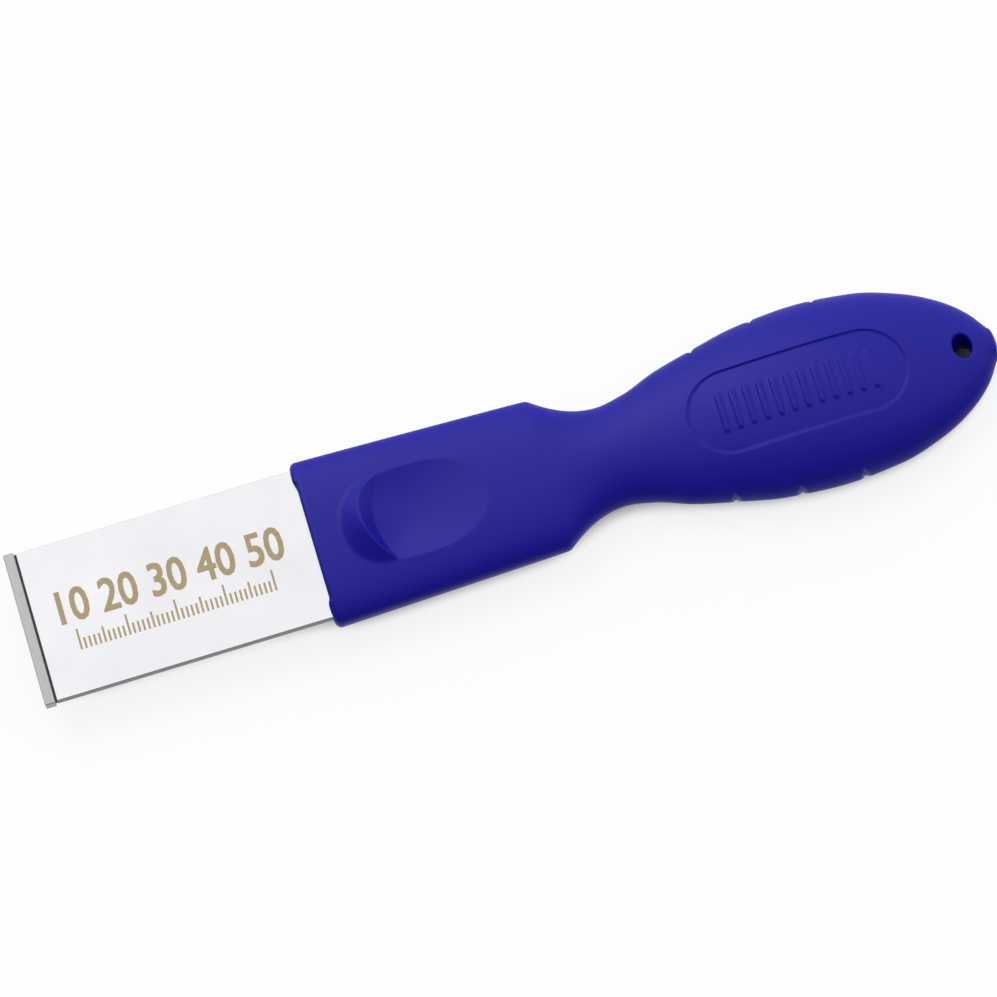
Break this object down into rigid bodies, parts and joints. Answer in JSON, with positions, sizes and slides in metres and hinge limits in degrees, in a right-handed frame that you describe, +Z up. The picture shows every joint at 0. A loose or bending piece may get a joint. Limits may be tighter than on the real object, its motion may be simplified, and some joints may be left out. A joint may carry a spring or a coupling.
{
  "type": "gasket scraper",
  "caption": "Hand scraper with a brazed carbide edge on a flat steel blade, moulded into a waisted plastic handle with a thumb hollow and a hang hole.",
  "frame": {"origin": "on the surface that the handle's flats rest on, below the middle of the tool's length and width", "axes": "+X from the cutting edge to the end of the grip, +Y across the blade, +Z up out of the thumb hollow"},
  "size_m": [0.2, 0.0386, 0.0128],
  "materials": {
    "carbide": "ground",
    "braze": "dull",
    "blade_steel": "fine polish",
    "handle_plastic": "satin"
  },
  "bodies": {
    "root": {"carbide_tip": "carbide", "braze_joint": "braze", "blade": "blade_steel", "handle": "handle_plastic"}
  },
  "joints": []
}
